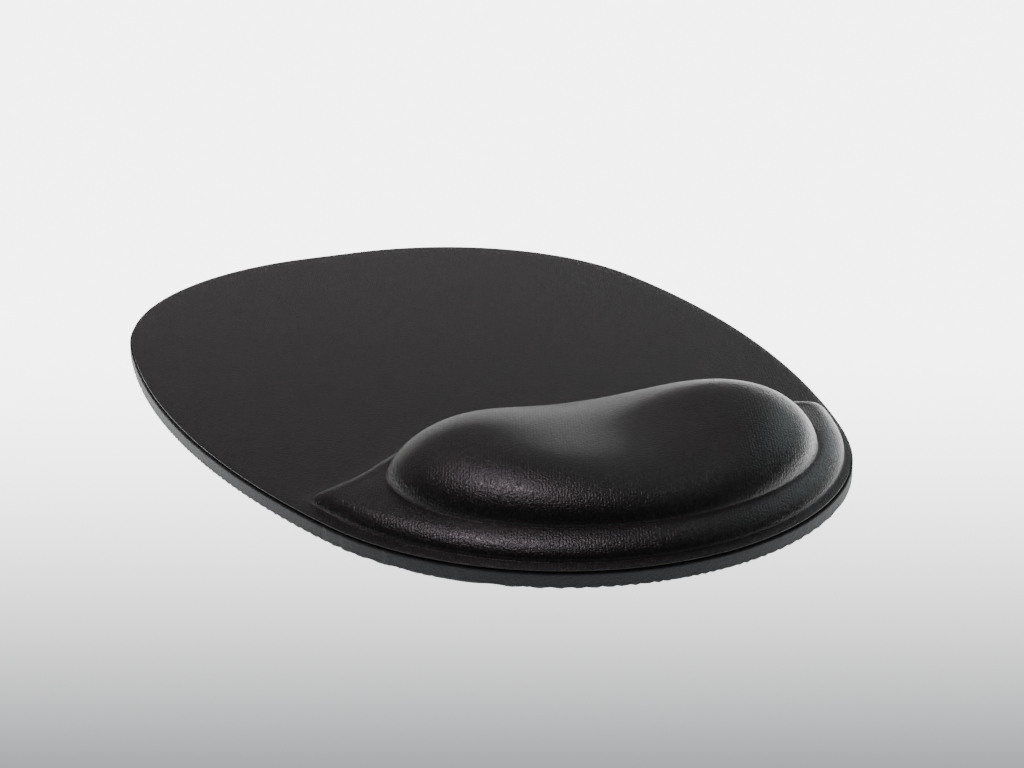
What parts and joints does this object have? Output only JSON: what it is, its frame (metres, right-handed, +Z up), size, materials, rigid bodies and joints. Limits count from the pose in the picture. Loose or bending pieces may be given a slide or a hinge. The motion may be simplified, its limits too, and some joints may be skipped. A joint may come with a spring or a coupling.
{
  "type": "wrist rest",
  "caption": "Fabric-covered mouse pad with a raised, saddle-shaped gel wrist cushion at the user's end and a textured sponge-rubber base.",
  "frame": {"origin": "centre of the footprint, on the underside that lies on the desk", "axes": "+X to the user's right, +Y away from the user along the pad, +Z up out of the desk"},
  "size_m": [0.18, 0.26, 0.0195],
  "materials": {
    "sponge_rubber": "matt open-cell sponge with a moulded grip texture underneath",
    "bonding_film": "thin clear hot-melt film",
    "moulded_foam": "fine closed-cell foam",
    "pouch_film": "clear glossy film",
    "gel": "clear soft gel",
    "cover_foam": "thin soft foam laminated to the knit",
    "cover_knit": "black satin stretch knit with a fine sheen"
  },
  "bodies": {
    "root": {"rubber_base": "sponge_rubber", "base_adhesive": "bonding_film", "wrist_plinth": "moulded_foam", "gel_pouch_base_film": "pouch_film", "gel_core": "gel", "gel_pouch_top_film": "pouch_film", "cover_backing": "cover_foam", "cover_fabric": "cover_knit"}
  },
  "joints": []
}
